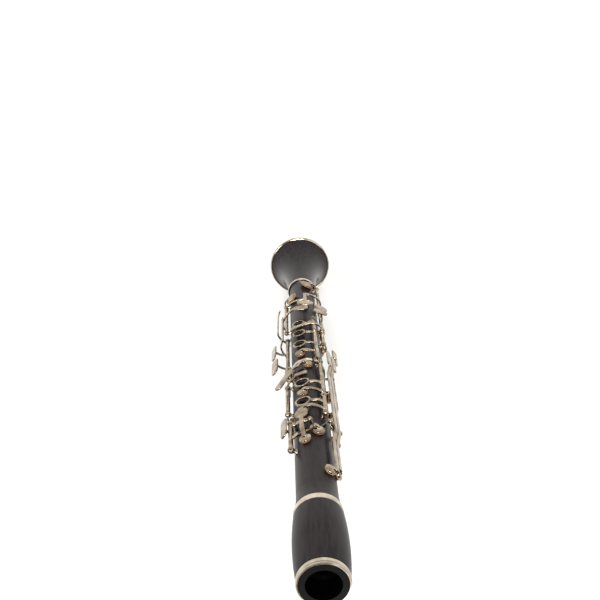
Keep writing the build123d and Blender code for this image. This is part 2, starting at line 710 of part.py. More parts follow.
with BuildPart() as needle_springs:
    for rods, hinge_radius in ((UPPER_RODS, UPPER_HINGE), (LOWER_RODS, LOWER_HINGE)):
        for rod in rods:
            for low, high in zip(rod[1:], rod[2:]):
                needle(rod, low, high, hinge_radius)
save(needle_springs.part, "needle_springs")


# ---- pads ---------------------------------------------------------------------------------
def save_pad(name, hole, rod=None, opening=0.0):
    """One pad, closed on its hole or turned up with its key."""
    with BuildPart() as pad:
        pad_disc(hole)
    save(opened(pad.part, rod, opening) if rod else pad.part, name)


save_pad("throat_a_pad", A_HOLE)
save_pad("throat_gsharp_pad", GSHARP_HOLE)
save_pad("register_pad", REGISTER_HOLE)
save_pad("upper_sliver_pad", SLIVER_HOLE)
save_pad("csharp_gsharp_pad", CSHARP_HOLE)
for number, hole in enumerate(SIDE_HOLES, start=1):
    save_pad(f"side_pad_{number}", hole)
save_pad("rh_sliver_pad", RH_SLIVER_HOLE)
save_pad("ab_eb_pad", AFLAT_HOLE)
save_pad("index_ring_pad", UPPER_VENT_HOLE, RING_ROD, -RING_OPENING)
save_pad("middle_ring_pad", MIDDLE_VENT_HOLE, RING_ROD, -RING_OPENING)
save_pad("rh_ring_pad", VENT_HOLE, RH_RING_ROD, -RING_OPENING)
save_pad("f_c_pad", F_HOLE, RIGHT_ROD, -F_OPENING)
save_pad("e_b_pad", E_HOLE, RIGHT_ROD, -E_OPENING)
save_pad("fsharp_csharp_pad", FSHARP_HOLE, LEFT_ROD, FSHARP_OPENING)

# ---- upper joint keys that turn on axles across the bore ----------------------------------
with BuildPart() as throat_a_key:
    touch(station(A_AXLE[0] - 11, 0, LEVER_LEVEL - 0.8), 12.6, 11.0)
    pad_cup(A_HOLE)
    bar(0, ARM_WIDTH, (A_HOLE[0] + 1.5, cup_top(A_HOLE) + 0.3), (A_HOLE[0] - 3, cup_top(A_HOLE) + 0.5),
        (A_AXLE[0] + 8, LEVER_LEVEL - 0.5), (A_AXLE[0], LEVER_LEVEL), (A_AXLE[0] - 7, LEVER_LEVEL))
    axle_tube(A_AXLE, 0, 2 * A_AXLE[3] - 2 * END_CLEARANCE)
    axle_bore(A_AXLE, 0, 2 * A_AXLE[3])
save(throat_a_key.part, "throat_a_key")

with BuildPart() as register_key:
    touch(station(REGISTER_AXLE[0] - 28, 180, LEVER_LEVEL - 0.8), 16.0, 9.0)
    pad_cup(REGISTER_HOLE)
    bar(180, ARM_WIDTH, (REGISTER_HOLE[0] + 1, cup_top(REGISTER_HOLE) + 0.3),
        (REGISTER_HOLE[0] - 4, cup_top(REGISTER_HOLE) + 0.5), (REGISTER_AXLE[0] + 12, LEVER_LEVEL - 0.8),
        (REGISTER_AXLE[0], LEVER_LEVEL), (REGISTER_AXLE[0] - 24, LEVER_LEVEL))
    axle_tube(REGISTER_AXLE, 0, 2 * REGISTER_AXLE[3] - 2 * END_CLEARANCE)
    axle_bore(REGISTER_AXLE, 0, 2 * REGISTER_AXLE[3])
save(register_key.part, "register_key")

# The four side keys lie in two pairs of parallel bars: the low pair turns on the axle on the
# right side, and the trill pair runs past it, from the touches up to the two highest holes.
LOWER_TOUCHES = LOWER_TOP - 27.0
TRILL_TOUCHES = LOWER_TOP + 2.0
SIDE_TOUCH_LEVEL = UPPER_RADIUS + SIDE_TOUCH_LIFT
TRILL_TOUCH_LEVEL = UPPER_RADIUS + TRILL_TOUCH_LIFT
TRILL_DIP_LEVEL = UPPER_RADIUS + TRILL_DIP_LIFT
SIDE_FACING = 75.0
SIDE_TOUCH_WIDTH = 6.2
BAR_SPREAD = 6.0


def side_tube(axle, side):
    """One half of the tube that two side keys share their axle with."""
    length = axle[3] - 1.5 * END_CLEARANCE
    axle_tube(axle, side * (length + END_CLEARANCE) / 2, length)
    axle_bore(axle, 0, 2 * axle[3])


for number, side, height, angle in ((1, 1, LOWER_TOUCHES - 4, 117.0), (2, -1, LOWER_TOUCHES + 4, 95.0)):
    hole = SIDE_HOLES[number - 1]
    with BuildPart() as side_key:
        touch(wing(height, angle, SIDE_TOUCH_LEVEL, SIDE_FACING), 17.0, SIDE_TOUCH_WIDTH)
        pad_cup(hole)
        bar(SIDE_AXLE[1], BAR_WIDTH, (height + 4 - ARM_WIDTH / 2, SIDE_TOUCH_LEVEL),
            (height + 4 + ARM_WIDTH / 2, SIDE_TOUCH_LEVEL), (SIDE_AXLE[0] - 16, LEVER_LEVEL),
            (hole[0] - 10, LEVER_LEVEL), (hole[0] - 4, cup_top(hole) + 1.2),
            (hole[0] + 1, cup_top(hole) + 0.3), shift=side * BAR_OFFSET)
        reach = SIDE_TOUCH_LEVEL - wood(height)
        strap(height + 4, ARM_WIDTH, (SIDE_AXLE[1] + side * BAR_SPREAD, reach), (angle, reach + 0.4))
        side_tube(SIDE_AXLE, side)
    save(side_key.part, f"side_key_{number}")

for number, side in ((3, 1), (4, -1)):
    hole = SIDE_HOLES[number - 1]
    with BuildPart() as side_key:
        touch(station(TRILL_TOUCHES, TRILL_AXLE[1], TRILL_TOUCH_LEVEL, side * (SIDE_TOUCH_WIDTH / 2 + 0.6)),
              28.0, SIDE_TOUCH_WIDTH)
        pad_cup(hole)
        bar(TRILL_AXLE[1], BAR_WIDTH, (TRILL_TOUCHES, TRILL_TOUCH_LEVEL + 0.4),
            (TRILL_TOUCHES + 12, TRILL_TOUCH_LEVEL + 0.4), (TRILL_TOUCHES + 26, LEVER_LEVEL),
            (TRILL_AXLE[0] + 8, LEVER_LEVEL), (TRILL_AXLE[0] + 22, TRILL_DIP_LEVEL),
            (hole[0] + ARM_WIDTH / 2, TRILL_DIP_LEVEL), shift=side * BAR_OFFSET)
        strap(hole[0], ARM_WIDTH, (TRILL_AXLE[1] + side * BAR_SPREAD, TRILL_DIP_LIFT),
              (hole[1], CUP_LIFT + 0.2))
        side_tube(TRILL_AXLE, side)
    save(side_key.part, f"side_key_{number}")

# ---- upper joint keys that turn on rods along the bore ------------------------------------
RING_ARM_END = 21.0

with BuildPart() as throat_gsharp_key:
    low, high = above(GSHARP_ROD[1]), below(GSHARP_ROD[2])
    touch(wing(low + 3, -47, UPPER_RADIUS + 8.7, -35), 25.0, 8.0)
    hinge_tube(GSHARP_ROD, low, high)
    pad_cup(GSHARP_HOLE)
    strap(GSHARP_HOLE[0], ARM_WIDTH, (GSHARP_ROD[0], HINGE_LIFT), (-26, 3.1), (-8, 2.4), (4, 2.4),
          (14, 2.8), *over_cup(GSHARP_HOLE, -1))
    strap(low + 7, ARM_WIDTH, (GSHARP_ROD[0], HINGE_LIFT), (-46, 7.0), (-52, 9.4))
    hinge_bore(GSHARP_ROD, low, high)
save(throat_gsharp_key.part, "throat_gsharp_key")

with BuildPart() as thumb_ring_key:
    low, high = above(THUMB_ROD[1]), below(THUMB_ROD[2])
    hinge_tube(THUMB_ROD, low, high)
    strap(THUMB_HOLE[0], ARM_WIDTH, (THUMB_ROD[0], HINGE_LIFT), (140, 4.1),
          (180 - RING_ARM_END, RING_LIFT))
    finger_ring(THUMB_HOLE)
    finger_ring_hole(THUMB_HOLE)
    hinge_bore(THUMB_ROD, low, high)
save(opened(thumb_ring_key.part, THUMB_ROD, THUMB_OPENING), "thumb_ring_key")

with BuildPart() as index_ring_key:
    low, high = above(RING_ROD[2]), below(RING_ROD[3])
    hinge_tube(RING_ROD, low, high)
    pad_cup(UPPER_VENT_HOLE)
    strap(UPPER_VENT_HOLE[0] - 0.5, ARM_WIDTH, (RING_ROD[0], HINGE_LIFT), (36, 4.7),
          *over_cup(UPPER_VENT_HOLE, 1))
    strap(INDEX_HOLE[0], ARM_WIDTH, (RING_ROD[0], HINGE_LIFT), (40, 3.9), (RING_ARM_END, RING_LIFT))
    finger_ring(INDEX_HOLE)
    finger_ring_hole(INDEX_HOLE)
    hinge_bore(RING_ROD, low, high)
save(opened(index_ring_key.part, RING_ROD, -RING_OPENING), "index_ring_key")

BRIDGE_ANGLE = 44.5
BRIDGE_LIFT = 6.6
BRIDGE_LEVEL = UPPER_RADIUS + BRIDGE_LIFT

with BuildPart() as middle_ring_key:
    low, high = above(RING_ROD[1]), below(RING_ROD[2])
    hinge_tube(RING_ROD, low, high)
    pad_cup(MIDDLE_VENT_HOLE)
    strap(high - ARM_WIDTH / 2, ARM_WIDTH, (RING_ROD[0], HINGE_LIFT), (36, 4.7),
          *over_cup(MIDDLE_VENT_HOLE, 1))
    strap(MIDDLE_HOLE[0], ARM_WIDTH, (RING_ROD[0], HINGE_LIFT), (40, 3.9), (RING_ARM_END, RING_LIFT))
    strap(low + ARM_WIDTH / 2, ARM_WIDTH, (RING_ROD[0], HINGE_LIFT), (50, 5.9),
          (BRIDGE_ANGLE - 2, BRIDGE_LIFT))
    bar(BRIDGE_ANGLE, BRIDGE_WIDTH, (low + ARM_WIDTH, BRIDGE_LEVEL), (LOWER_TOP - 3, BRIDGE_LEVEL))
    finger_ring(MIDDLE_HOLE)
    finger_ring_hole(MIDDLE_HOLE)
    hinge_bore(RING_ROD, low, high)
save(opened(middle_ring_key.part, RING_ROD, -RING_OPENING), "middle_ring_key")

with BuildPart() as upper_sliver_key:
    low, high = above(SLIVER_ROD[1]), below(SLIVER_ROD[2])
    touch(station(low + 0.7, 0, UPPER_RADIUS + 5.0), 14.0, 5.4, lean=90)
    hinge_tube(SLIVER_ROD, low, high)
    pad_cup(SLIVER_HOLE)
    strap(SLIVER_HOLE[0] - 1, ARM_WIDTH, (SLIVER_ROD[0], HINGE_LIFT), (-70, 4.6),
          *over_cup(SLIVER_HOLE, 1))
    strap(low + 1.7, 3.4, (SLIVER_ROD[0], HINGE_LIFT), (-42, 6.1), (-20, 6.1), (4, 5.5))
    hinge_bore(SLIVER_ROD, low, high)
save(upper_sliver_key.part, "upper_sliver_key")

CSHARP_ARM = -28.0
CSHARP_ARM_LIFT = 10.6

with BuildPart() as csharp_gsharp_key:
    low, high = above(CSHARP_ROD[1]), below(CSHARP_ROD[2])
    touch(wing(high + 16, -33.6, UPPER_RADIUS + 11.3, -8), 27.0, 7.0, lean=-34)
    hinge_tube(CSHARP_ROD, low, high)
    pad_cup(CSHARP_HOLE)
    strap(CSHARP_HOLE[0], ARM_WIDTH, (CSHARP_ROD[0], HINGE_LIFT), (-24, 3.6), (-8, 3.1),
          *over_cup(CSHARP_HOLE, -1))
    strap(high - ARM_WIDTH / 2, ARM_WIDTH, (CSHARP_ROD[0], HINGE_LIFT), (-35, 8.0),
          (CSHARP_ARM, CSHARP_ARM_LIFT))
    bar(CSHARP_ARM, BAR_WIDTH, (high - ARM_WIDTH, UPPER_RADIUS + CSHARP_ARM_LIFT),
        (high + 12, UPPER_RADIUS + CSHARP_ARM_LIFT))
    hinge_bore(CSHARP_ROD, low, high)
save(csharp_gsharp_key.part, "csharp_gsharp_key")

# ---- lower joint keys ---------------------------------------------------------------------
BRIDGE_ARM_LEVEL = BRIDGE_LEVEL + BAR_THICKNESS + LINK_GAP

with BuildPart() as rh_ring_key:
    low, high = above(RH_RING_ROD[1]), below(RH_RING_ROD[2])
    hinge_tube(RH_RING_ROD, low, high)
    pad_cup(VENT_HOLE)
    strap(high - ARM_WIDTH / 2, ARM_WIDTH, (RH_RING_ROD[0], HINGE_LIFT), (32, 4.7),
          *over_cup(VENT_HOLE, 1))
    for hole in RH_HOLES:
        strap(hole[0], ARM_WIDTH, (RH_RING_ROD[0], HINGE_LIFT), (36, 3.9), (RING_ARM_END, RING_LIFT))
        finger_ring(hole)
    bar(BRIDGE_ANGLE, BRIDGE_WIDTH, (high - ARM_WIDTH - 2, LOWER_HINGE), (high, LOWER_RADIUS + 8.5),
        (LOWER_TOP - 3, LOWER_RADIUS + 8.7), (LOWER_TOP, BRIDGE_ARM_LEVEL),
        (LOWER_TOP + 7, BRIDGE_ARM_LEVEL))
    for hole in RH_HOLES:
        finger_ring_hole(hole)
    hinge_bore(RH_RING_ROD, low, high)
save(opened(rh_ring_key.part, RH_RING_ROD, -RING_OPENING), "rh_ring_key")

with BuildPart() as rh_sliver_key:
    low, high = above(RH_SLIVER_ROD[1]), below(RH_SLIVER_ROD[2])
    touch(station(low + 1.7, 0, LOWER_RADIUS + 5.0), 16.0, 5.8, lean=90)
    hinge_tube(RH_SLIVER_ROD, low, high)
    pad_cup(RH_SLIVER_HOLE)
    strap(RH_SLIVER_HOLE[0], ARM_WIDTH, (RH_SLIVER_ROD[0], HINGE_LIFT), (96, 4.6),
          *over_cup(RH_SLIVER_HOLE, -1))
    strap(low + 1.7, 3.4, (RH_SLIVER_ROD[0], HINGE_LIFT), (74, 7.1), (62, 9.3), (50, 9.7), (38, 9.1),
          (24, 7.1), (10, 5.7), (-4, 5.5))
    hinge_bore(RH_SLIVER_ROD, low, high)
save(rh_sliver_key.part, "rh_sliver_key")

# The right little finger's four plates lie in two rows; the outer two stand off to the right.
F_TOP = LOWER_TOP - 107.0
UPPER_ROW = LOWER_TOP - 104.0
LOWER_ROW = LOWER_TOP - 117.0
OUTER_COLUMN = 62.0
OUTER_FACING = 45.0
INNER_COLUMN = 21.0
PINKY_LENGTH = 16.0
PINKY_WIDTH = 11.0


def pinky_touch(height, angle, level, facing):
    touch(wing(height, angle, level, facing), PINKY_LENGTH, PINKY_WIDTH, lean=90)


with BuildPart() as ab_eb_key:
    low, high = F_TOP + END_CLEARANCE, below(RIGHT_ROD[3])
    pinky_touch(UPPER_ROW, OUTER_COLUMN, TOUCH_LEVEL + 2.5, OUTER_FACING)
    hinge_tube(RIGHT_ROD, low, high)
    pad_cup(AFLAT_HOLE)
    strap(AFLAT_HOLE[0], ARM_WIDTH, (RIGHT_ROD[0], HINGE_LIFT), (99, 4.8),
          *over_cup(AFLAT_HOLE, -1))
    strap(low + 3, ARM_WIDTH, (RIGHT_ROD[0], HINGE_LIFT), (79, 7.7), (70, 10.4), (OUTER_COLUMN, 12.0))
    hinge_bore(RIGHT_ROD, low, high)
save(ab_eb_key.part, "ab_eb_key")

with BuildPart() as f_c_key:
    low, high = above(RIGHT_ROD[2]), F_TOP
    pinky_touch(LOWER_ROW, OUTER_COLUMN, TOUCH_LEVEL + 1.5, OUTER_FACING)
    hinge_tube(RIGHT_ROD, low, high)
    pad_cup(F_HOLE)
    strap(F_HOLE[0] + 1.8, ARM_WIDTH, (RIGHT_ROD[0], HINGE_LIFT), (66, 5.1), *over_cup(F_HOLE, 1))
    strap(LOWER_ROW, ARM_WIDTH, (RIGHT_ROD[0], HINGE_LIFT), (79, 7.0), (70, 9.4), (OUTER_COLUMN, 11.0))
    hinge_bore(RIGHT_ROD, low, high)
save(opened(f_c_key.part, RIGHT_ROD, -F_OPENING), "f_c_key")

# Two linked keys: each lever of the left little finger rests on an arm of one of them.
E_LINK = LOWER_TOP - 128.5
E_LINK_END = -31.0
E_LINK_LIFT = 8.6
FSHARP_LINK = LOWER_TOP - 108.5
FSHARP_LINK_LIFT = 8.4

with BuildPart() as e_b_key:
    low, high = above(RIGHT_ROD[1]), below(RIGHT_ROD[2])
    pinky_touch(LOWER_ROW, INNER_COLUMN, TOUCH_LEVEL - 0.2, INNER_COLUMN)
    hinge_tube(RIGHT_ROD, low, high)
    pad_cup(E_HOLE)
    strap(E_HOLE[0], ARM_WIDTH, (RIGHT_ROD[0], HINGE_LIFT), (76, 5.0), *over_cup(E_HOLE, 1))
    strap(high - ARM_WIDTH / 2, ARM_WIDTH, (RIGHT_ROD[0], HINGE_LIFT), (78, 7.7),
          (62, TOUCH_LIFT + 0.4), (40, TOUCH_LIFT), (INNER_COLUMN - 3, TOUCH_LIFT))
    bar(INNER_COLUMN, ARM_WIDTH, (high - ARM_WIDTH, TOUCH_LEVEL), (LOWER_ROW, TOUCH_LEVEL))
    strap(E_LINK, ARM_WIDTH, (INNER_COLUMN, TOUCH_LIFT), (0, 8.8), (E_LINK_END, E_LINK_LIFT))
    hinge_bore(RIGHT_ROD, low, high)
save(opened(e_b_key.part, RIGHT_ROD, -E_OPENING), "e_b_key")

with BuildPart() as fsharp_csharp_key:
    low, high = above(LEFT_ROD[1]), below(LEFT_ROD[2])
    pinky_touch(UPPER_ROW, INNER_COLUMN, TOUCH_LEVEL - 0.2, INNER_COLUMN)
    hinge_tube(LEFT_ROD, low, high)
    pad_cup(FSHARP_HOLE)
    strap(FSHARP_HOLE[0], ARM_WIDTH, (LEFT_ROD[0], HINGE_LIFT), (-58, 5.0),
          *over_cup(FSHARP_HOLE, -1))
    strap(FSHARP_LINK, ARM_WIDTH, (LEFT_ROD[0], HINGE_LIFT), (-62, 6.9), (-44, FSHARP_LINK_LIFT - 0.3),
          (-10, TOUCH_LIFT - 0.4), (12, TOUCH_LIFT))
    hinge_bore(LEFT_ROD, low, high)
save(opened(fsharp_csharp_key.part, LEFT_ROD, FSHARP_OPENING), "fsharp_csharp_key")

# ---- the two levers for the left little finger --------------------------------------------
LEVER_SPLIT = LOWER_TOP - 54.5
PETAL_ANGLE = -62.0
PETAL_FACING = -25.0
PETAL_WIDTH = 9.0
FSHARP_TAIL = -36.0
FSHARP_TAIL_LIFT = FSHARP_LINK_LIFT + BAR_THICKNESS + LINK_GAP
E_TAIL = -50.0
E_TAIL_LIFT = 11.3
E_TAIL_END_LIFT = E_LINK_LIFT + BAR_THICKNESS + LINK_GAP


def petal(height, length):
    """The long plate of a lever, standing out to the left and facing the player."""
    touch(wing(height, PETAL_ANGLE, LOWER_RADIUS + PETAL_LIFT, PETAL_FACING), length, PETAL_WIDTH)


def petal_arm(height):
    strap(height, ARM_WIDTH, (LEVER_ROD[0], HINGE_LIFT), (-77, 8.6), (-70, 12.4),
          (PETAL_ANGLE, PETAL_LIFT + 0.7))


with BuildPart() as lh_fsharp_csharp_lever:
    low, high = LEVER_SPLIT + END_CLEARANCE, below(LEVER_ROD[2])
    petal(high + 8, 28.0)
    hinge_tube(LEVER_ROD, low, high)
    petal_arm(high - ARM_WIDTH / 2)
    strap(low + ARM_WIDTH / 2, ARM_WIDTH, (LEVER_ROD[0], HINGE_LIFT), (-72, 7.5), (-54, 9.9),
          (FSHARP_TAIL, FSHARP_TAIL_LIFT))
    bar(FSHARP_TAIL, BRIDGE_WIDTH, (low + ARM_WIDTH, LOWER_RADIUS + FSHARP_TAIL_LIFT),
        (FSHARP_LINK - ARM_WIDTH / 2, LOWER_RADIUS + FSHARP_TAIL_LIFT))
    hinge_bore(LEVER_ROD, low, high)
save(opened(lh_fsharp_csharp_lever.part, LEVER_ROD, FSHARP_LEVER_OPENING), "lh_fsharp_csharp_lever")

with BuildPart() as lh_e_b_lever:
    low, high = above(LEVER_ROD[1]), LEVER_SPLIT
    petal(high + 5, 26.0)
    hinge_tube(LEVER_ROD, low, high)
    petal_arm(high - ARM_WIDTH / 2)
    strap(low + ARM_WIDTH / 2, ARM_WIDTH, (LEVER_ROD[0], HINGE_LIFT), (-72, 7.5), (-60, 10.1),
          (E_TAIL, E_TAIL_LIFT))
    bar(E_TAIL, BRIDGE_WIDTH, (low + ARM_WIDTH, LOWER_RADIUS + E_TAIL_LIFT),
        (E_LINK - ARM_WIDTH / 2, LOWER_RADIUS + E_TAIL_LIFT))
    strap(E_LINK, ARM_WIDTH, (E_TAIL, E_TAIL_LIFT), (-40, 10.9), (E_LINK_END, E_TAIL_END_LIFT))
    hinge_bore(LEVER_ROD, low, high)
save(opened(lh_e_b_lever.part, LEVER_ROD, E_LEVER_OPENING), "lh_e_b_lever")
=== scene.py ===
import json
import math

import bpy
from mathutils import Matrix, Vector


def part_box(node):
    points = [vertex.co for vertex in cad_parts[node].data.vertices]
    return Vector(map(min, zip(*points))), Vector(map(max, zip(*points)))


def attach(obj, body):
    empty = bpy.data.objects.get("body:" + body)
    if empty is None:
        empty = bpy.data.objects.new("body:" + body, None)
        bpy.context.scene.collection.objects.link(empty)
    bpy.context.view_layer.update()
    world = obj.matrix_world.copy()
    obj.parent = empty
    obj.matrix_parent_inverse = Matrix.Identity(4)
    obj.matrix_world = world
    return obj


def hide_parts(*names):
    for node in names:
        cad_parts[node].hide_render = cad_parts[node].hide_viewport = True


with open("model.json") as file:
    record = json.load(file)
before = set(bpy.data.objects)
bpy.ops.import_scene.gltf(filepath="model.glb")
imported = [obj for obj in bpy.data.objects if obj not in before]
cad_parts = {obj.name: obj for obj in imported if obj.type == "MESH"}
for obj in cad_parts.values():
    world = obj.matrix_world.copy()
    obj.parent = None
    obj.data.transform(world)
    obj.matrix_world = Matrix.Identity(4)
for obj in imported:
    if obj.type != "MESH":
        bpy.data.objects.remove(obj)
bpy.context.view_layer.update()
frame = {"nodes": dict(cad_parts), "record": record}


# ---- studio ---------------------------------------------------------------------------------
# The clarinet stands on its bell on a white sweep of card. The camera looks down past the open
# mouthpiece socket towards the bell. Three soft panels and a high ceiling panel light it evenly.
FLOOR_SIZE = 60.0
CARD_COLOUR = "#f6f5f3"
# Card fibres are far finer than a tenth of a millimetre. They are drawn at 1.1 mm, to show.
CARD_FIBRE = 1 / 900
FIBRE_DEPTH = 0.0002
CAMERA_PLACE = Vector((-0.1033, -0.2838, 0.9106))
CAMERA_AIM = Vector((0.0027, -0.0010, 0.1317))
CAMERA_ROLL = math.radians(176.2)
CAMERA_LENS = 41.8


def to_linear(hex_colour):
    """The linear colour of an sRGB hex value."""
    parts = [int(hex_colour[start:start + 2], 16) / 255 for start in (1, 3, 5)]
    linear = [p / 12.92 if p <= 0.04045 else ((p + 0.055) / 1.055) ** 2.4 for p in parts]
    return tuple(linear) + (1.0,)


def add_node(material, kind, settings=None, links=None):
    """One node, with its input values, its own properties and the sockets that feed it."""
    node = material.node_tree.nodes.new(kind)
    for name, value in (settings or {}).items():
        if name in node.inputs:
            node.inputs[name].default_value = value
        else:
            setattr(node, name, value)
    for name, socket in (links or {}).items():
        material.node_tree.links.new(socket, node.inputs[name])
    return node


def new_material(name, **sockets):
    """An empty material and its shader, with the shader's constants set."""
    material = bpy.data.materials.new(name)
    material.use_nodes = True
    shader = material.node_tree.nodes["Principled BSDF"]
    for socket, value in sockets.items():
        shader.inputs[socket.replace("_", " ")].default_value = value
    return material, shader


def link(material, source, target):
    material.node_tree.links.new(source, target)


bpy.ops.mesh.primitive_plane_add(size=FLOOR_SIZE, location=(0, 0, 0))
floor = bpy.context.active_object
floor.name = "studio_floor"

# Uncoated card is flat white with no gloss, and its fibres give it a faint tooth.
card, card_shader = new_material("matte_white_card", Base_Color=to_linear(CARD_COLOUR),
                                 Roughness=0.9)
card_fibres = add_node(card, "ShaderNodeTexNoise", {"Scale": 1 / CARD_FIBRE, "Detail": 2.0})
card_bump = add_node(card, "ShaderNodeBump", {"Strength": 0.05, "Distance": FIBRE_DEPTH},
                     {"Height": card_fibres.outputs["Fac"]})
link(card, card_bump.outputs["Normal"], card_shader.inputs["Normal"])
floor.data.materials.append(card)

camera_data = bpy.data.cameras.new("camera")
camera_data.lens = CAMERA_LENS
camera = bpy.data.objects.new("camera", camera_data)
bpy.context.scene.collection.objects.link(camera)
look = (CAMERA_AIM - CAMERA_PLACE).to_track_quat("-Z", "Y").to_matrix().to_4x4()
camera.matrix_world = Matrix.Translation(CAMERA_PLACE) @ look @ Matrix.Rotation(CAMERA_ROLL, 4, "Z")
bpy.context.scene.camera = camera


LIGHT_AIM = (0, 0, 0.3)


def aim_light(lamp, place):
    """Hangs a lamp at its place, turned to the middle of the clarinet."""
    holder = bpy.data.objects.new(lamp.name, lamp)
    bpy.context.scene.collection.objects.link(holder)
    turn = (Vector(LIGHT_AIM) - Vector(place)).to_track_quat("-Z", "Y").to_matrix().to_4x4()
    holder.matrix_world = Matrix.Translation(place) @ turn


def soft_light(name, place, size, power):
    """A round diffusing panel that faces the clarinet."""
    lamp = bpy.data.lights.new(name, "AREA")
    lamp.shape = "DISK"
    lamp.size = size
    lamp.energy = power
    aim_light(lamp, place)


soft_light("key_light", (1.1, -1.1, 1.7), 0.8, 11.0)
soft_light("fill_light", (-1.4, -0.5, 1.5), 1.3, 8.0)
soft_light("back_light", (0.3, 1.6, 1.5), 1.2, 10.0)

# The ceiling panel hangs so high that it lights the whole floor alike.
CEILING_SPREAD = math.radians(18)
CEILING_PLACE = (-0.3, -0.9, 2.5)
CEILING_ENERGY = 2.3
ceiling = bpy.data.lights.new("ceiling_panel", "SUN")
ceiling.angle = CEILING_SPREAD
ceiling.energy = CEILING_ENERGY
aim_light(ceiling, CEILING_PLACE)

# The air is pale round the horizon and dim overhead, so upright metal is bright and the parts that
# face up mirror a darker room.
HORIZON_AIR = "#efeeec"
CEILING_AIR = "#3a332e"
HORIZON_ENDS = 0.3
CEILING_STARTS = 0.75
AIR_STRENGTH = 0.7
world = bpy.data.worlds.new("studio_air")
bpy.context.scene.world = world
world.use_nodes = True
air = world.node_tree.nodes["Background"]
direction = add_node(world, "ShaderNodeTexCoord")
height = add_node(world, "ShaderNodeSeparateXYZ", links={"Vector": direction.outputs["Generated"]})
dome = add_node(world, "ShaderNodeValToRGB", links={"Fac": height.outputs["Z"]})
dome.color_ramp.elements[0].position = HORIZON_ENDS
dome.color_ramp.elements[0].color = to_linear(HORIZON_AIR)
dome.color_ramp.elements[1].position = CEILING_STARTS
dome.color_ramp.elements[1].color = to_linear(CEILING_AIR)
link(world, dome.outputs["Color"], air.inputs["Color"])
air.inputs["Strength"].default_value = AIR_STRENGTH
bpy.context.scene.view_settings.view_transform = "Standard"


# ---- wooden joints --------------------------------------------------------------------------
# Barrel, upper joint, lower joint and bell are turned from grenadilla, bored, oiled and rubbed
# to a satin sheen; the barrel is waxed and the bell polished. Bores and sockets are painted black
# as shade.
# Pores are about 0.15 mm wide. They are drawn four times as coarse, so that they show.
GRAIN_WIDTH = 0.0006
PORE_LENGTH = 0.004
PORE_DEPTH = 0.00004
GRAIN_DARK_BELOW = 0.3
GRAIN_LIGHT_ABOVE = 0.72
SHEEN_BELOW = 0.06
SHEEN_ABOVE = 0.08
# Painted shade: the wood is painted black up to these radii, where the bores, the sockets and the
# barrel's end face lie in shade.
BARREL_INSIDE = 0.0154
JOINT_INSIDE = 0.0086
BELL_INSIDE = 0.007
SHADE_FADE = 0.0003
SHADED_SHARE = 0.04
SATIN_GRAIN = ("#191516", "#2f2829")
WAXED_GRAIN = ("#1d191a", "#332c2e")
SATIN_SHEEN = 0.36
POLISHED_SHEEN = 0.16
OILED_GLEAM = 0.17
WAXED_GLEAM = 0.12


def grenadilla(name, sheen, gleam, inside, grain_colours):
    """African blackwood: nearly black, with fine pores along the bore and a brown-grey grain."""
    wood, shader = new_material(name, IOR=1.5, Specular_IOR_Level=gleam)
    place = add_node(wood, "ShaderNodeTexCoord")
    stretch = add_node(wood, "ShaderNodeMapping", {"Scale": (1.0, 1.0, GRAIN_WIDTH / PORE_LENGTH)},
                       {"Vector": place.outputs["Object"]})
    grain = add_node(wood, "ShaderNodeTexNoise", {"Scale": 1 / (4 * GRAIN_WIDTH), "Detail": 5.0,
                     "Roughness": 0.6}, {"Vector": stretch.outputs["Vector"]})
    pores = add_node(wood, "ShaderNodeTexNoise", {"Scale": 1 / GRAIN_WIDTH, "Detail": 2.0},
                     {"Vector": stretch.outputs["Vector"]})
    tint = add_node(wood, "ShaderNodeValToRGB", links={"Fac": grain.outputs["Fac"]})
    tint.color_ramp.elements[0].position = GRAIN_DARK_BELOW
    tint.color_ramp.elements[0].color = to_linear(grain_colours[0])
    tint.color_ramp.elements[1].position = GRAIN_LIGHT_ABOVE
    tint.color_ramp.elements[1].color = to_linear(grain_colours[1])
    # Painted shade: inside these radii the colour drops to near black, where the bore, the sockets
    # and the barrel's end face lie in shade.
    across = add_node(wood, "ShaderNodeMapping", {"Scale": (1.0, 1.0, 0.0)},
                      {"Vector": place.outputs["Object"]})
    radius = add_node(wood, "ShaderNodeVectorMath", {"operation": "LENGTH"},
                      {"Vector": across.outputs["Vector"]})
    painted_bore_shade = add_node(wood, "ShaderNodeMapRange", {"From Min": inside,
                      "From Max": inside + SHADE_FADE, "To Min": SHADED_SHARE, "To Max": 1.0},
                      {"Value": radius.outputs["Value"]})
    colour = add_node(wood, "ShaderNodeVectorMath", {"operation": "SCALE"},
                      {"Vector": tint.outputs["Color"], "Scale": painted_bore_shade.outputs["Result"]})
    link(wood, colour.outputs["Vector"], shader.inputs["Base Color"])
    rubbed = add_node(wood, "ShaderNodeMapRange", {"To Min": sheen - SHEEN_BELOW,
                      "To Max": sheen + SHEEN_ABOVE}, {"Value": grain.outputs["Fac"]})
    link(wood, rubbed.outputs["Result"], shader.inputs["Roughness"])
    relief = add_node(wood, "ShaderNodeBump", {"Strength": 0.25, "Distance": PORE_DEPTH},
                      {"Height": pores.outputs["Fac"]})
    link(wood, relief.outputs["Normal"], shader.inputs["Normal"])
    return wood


def paint(piece, material):
    """Gives a whole piece one material."""
    piece.data.materials.clear()
    piece.data.materials.append(material)


satin_grenadilla = grenadilla("satin_grenadilla", SATIN_SHEEN, OILED_GLEAM, JOINT_INSIDE,
                              SATIN_GRAIN)
waxed_grenadilla = grenadilla("waxed_grenadilla", SATIN_SHEEN, WAXED_GLEAM, BARREL_INSIDE,
                              WAXED_GRAIN)
polished_grenadilla = grenadilla("polished_grenadilla", POLISHED_SHEEN, WAXED_GLEAM, BELL_INSIDE,
                                 WAXED_GRAIN)
for node in ("upper_joint", "lower_joint"):
    paint(frame["nodes"][node], satin_grenadilla)
paint(frame["nodes"]["barrel"], waxed_grenadilla)
paint(frame["nodes"]["bell"], polished_grenadilla)

